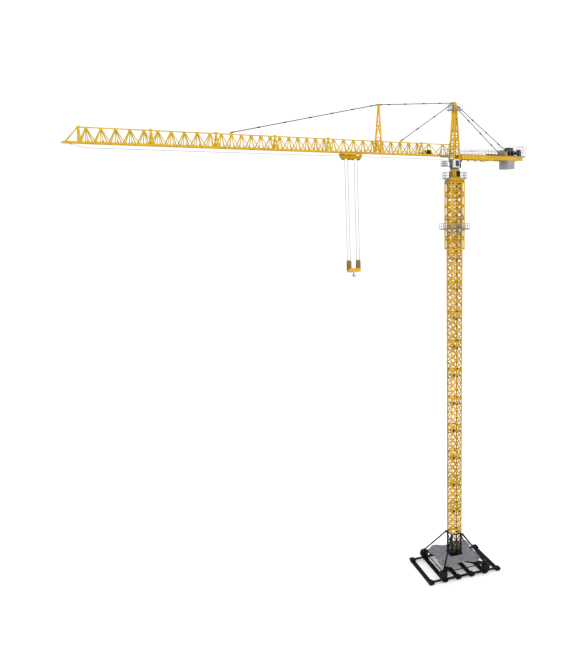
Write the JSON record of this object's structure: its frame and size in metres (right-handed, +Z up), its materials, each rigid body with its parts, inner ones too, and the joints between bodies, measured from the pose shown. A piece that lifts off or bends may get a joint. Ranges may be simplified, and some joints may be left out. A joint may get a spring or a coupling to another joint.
{
  "type": "toy tower crane",
  "caption": "Rail-mounted toy tower crane with lattice mast, slewing jib and counter-jib, running trolley and lifting hook.",
  "frame": {"origin": "on the ground under the mast axis, in the middle of the track", "axes": "+Z up along the mast; the jib points along -X and the counter-jib along +X; +Y is to the right of the jib seen from the hook end looking back at the mast"},
  "size_m": [1.013, 0.1704, 1.115],
  "materials": {
    "crane_yellow": "satin yellow paint, slightly deeper in the shade",
    "track_black": "matt black moulded track",
    "rail_steel": "dark burnished rail",
    "base_black": "satin black paint",
    "ballast_grey": "matt concrete grey",
    "counterweight_grey": "matt light concrete grey",
    "platform_dark": "dark grey-purple grating paint",
    "railing_grey": "pale grey paint",
    "turret_grey": "blue-grey paint",
    "cab_white": "gloss white shell",
    "cab_glass": "near-black tinted window",
    "pendant_grey": "dark grey rods",
    "rope_steel": "thin pale rope",
    "machine_black": "satin black paint",
    "cabinet_grey": "mid grey paint",
    "drum_steel": "turned steel",
    "hook_steel": "cast grey hook"
  },
  "bodies": {
    "track": {"track_sleepers": "track_black", "track_rails": "rail_steel", "rail_chairs": "track_black"},
    "undercarriage": {"bogies": "base_black", "cross_frame": "base_black", "tie_rods": "base_black", "ballast_lower": "ballast_grey", "ballast_upper": "ballast_grey", "mast_foot": "base_black", "foot_struts": "base_black", "mast_sections": "crane_yellow", "mast_landings": "platform_dark", "mast_ladder": "crane_yellow", "climbing_cage": "crane_yellow", "cage_platform": "railing_grey", "tower_funnel": "crane_yellow", "service_balconies": "railing_grey", "junction_box": "machine_black"},
    "wheel_1": {"rail_wheel_1": "base_black"},
    "wheel_2": {"rail_wheel_2": "base_black"},
    "wheel_3": {"rail_wheel_3": "base_black"},
    "wheel_4": {"rail_wheel_4": "base_black"},
    "upper": {"slewing_turret": "turret_grey", "slew_gearbox": "machine_black", "cab": "cab_white", "cab_window": "cab_glass", "side_balcony": "railing_grey", "tower_head": "crane_yellow", "head_platform": "railing_grey", "jib_root": "crane_yellow", "jib_section_1": "crane_yellow", "jib_section_2": "crane_yellow", "jib_section_3": "crane_yellow", "jib_section_4": "crane_yellow", "jib_section_5": "crane_yellow", "jib_section_6": "crane_yellow", "jib_tip": "crane_yellow", "jib_strut": "crane_yellow", "pendant_front_upper": "pendant_grey", "pendant_front_long": "pendant_grey", "pendant_front_short": "pendant_grey", "pendants_rear": "pendant_grey", "counter_jib": "crane_yellow", "counter_deck": "platform_dark", "counter_railing": "railing_grey", "counterweight": "counterweight_grey", "switch_cabinet": "cabinet_grey", "winch_motor_housing": "machine_black", "hoist_winch_frame": "machine_black", "trolley_winch_frame": "machine_black", "jib_ropes": "rope_steel"},
    "trolley": {"trolley_frame": "crane_yellow", "trolley_sheaves": "drum_steel", "hoist_rope_falls": "rope_steel"},
    "hook_block": {"hook_block": "crane_yellow"},
    "hook_sheave_1": {"hook_sheave_1": "drum_steel"},
    "hook_sheave_2": {"hook_sheave_2": "drum_steel"},
    "hook": {"hook": "hook_steel"},
    "hoist_drum": {"hoist_drum": "drum_steel"},
    "trolley_drum": {"trolley_drum": "machine_black"}
  },
  "joints": [
    {"name": "travel", "type": "slide", "parent": "track", "child": "undercarriage", "axis": [0.9736, -0.2284, 0], "range_m": [-0.025, 0.025]},
    {"name": "wheel_1_spin", "type": "hinge", "parent": "undercarriage", "child": "wheel_1", "pos_m": [-0.06911, -0.04285, 0.01425], "axis": [0.2284, 0.9736, 0], "range_deg": [-240, 240]},
    {"name": "wheel_2_spin", "type": "hinge", "parent": "undercarriage", "child": "wheel_2", "pos_m": [0.04285, -0.06911, 0.01425], "axis": [0.2284, 0.9736, 0], "range_deg": [-240, 240]},
    {"name": "wheel_3_spin", "type": "hinge", "parent": "undercarriage", "child": "wheel_3", "pos_m": [0.06911, 0.04285, 0.01425], "axis": [0.2284, 0.9736, 0], "range_deg": [-240, 240]},
    {"name": "wheel_4_spin", "type": "hinge", "parent": "undercarriage", "child": "wheel_4", "pos_m": [-0.04285, 0.06911, 0.01425], "axis": [0.2284, 0.9736, 0], "range_deg": [-240, 240]},
    {"name": "slew", "type": "hinge", "parent": "undercarriage", "child": "upper", "pos_m": [0, 0, 0.9696], "axis": [0, 0, 1], "continuous": true},
    {"name": "trolley_run", "type": "slide", "parent": "upper", "child": "trolley", "axis": [1, 0, 0], "range_m": [-0.475, 0.15], "deforming": ["jib_ropes"]},
    {"name": "hoist", "type": "slide", "parent": "trolley", "child": "hook_block", "axis": [0, 0, 1], "range_m": [-0.68, 0.195], "deforming": ["hoist_rope_falls"]},
    {"name": "hook_swivel", "type": "hinge", "parent": "hook_block", "child": "hook", "pos_m": [-0.27148, 0, 0.757], "axis": [0, 0, 1], "continuous": true},
    {"name": "hook_sheave_1_spin", "type": "hinge", "parent": "hook_block", "child": "hook_sheave_1", "pos_m": [-0.28265, 0, 0.7735], "axis": [0, 1, 0], "continuous": true},
    {"name": "hook_sheave_2_spin", "type": "hinge", "parent": "hook_block", "child": "hook_sheave_2", "pos_m": [-0.2603, 0, 0.7735], "axis": [0, 1, 0], "continuous": true},
    {"name": "hoist_drum_spin", "type": "hinge", "parent": "upper", "child": "hoist_drum", "pos_m": [0.187, 0, 1.011], "axis": [0, 1, 0], "continuous": true},
    {"name": "trolley_drum_spin", "type": "hinge", "parent": "upper", "child": "trolley_drum", "pos_m": [-0.077, 0, 1.006], "axis": [0, 1, 0], "continuous": true}
  ],
  "couplings": [
    {"joint": "wheel_1_spin", "follows": "travel", "rad_per_m": 166.67},
    {"joint": "wheel_2_spin", "follows": "travel", "rad_per_m": 166.67},
    {"joint": "wheel_3_spin", "follows": "travel", "rad_per_m": 166.67},
    {"joint": "wheel_4_spin", "follows": "travel", "rad_per_m": 166.67},
    {"joint": "hook_sheave_1_spin", "follows": "hoist", "rad_per_m": -285.71},
    {"joint": "hook_sheave_2_spin", "follows": "hoist", "rad_per_m": -857.14},
    {"joint": "hoist_drum_spin", "follows": "hoist", "rad_per_m": 879.12},
    {"joint": "trolley_drum_spin", "follows": "trolley_run", "rad_per_m": 322.58}
  ]
}
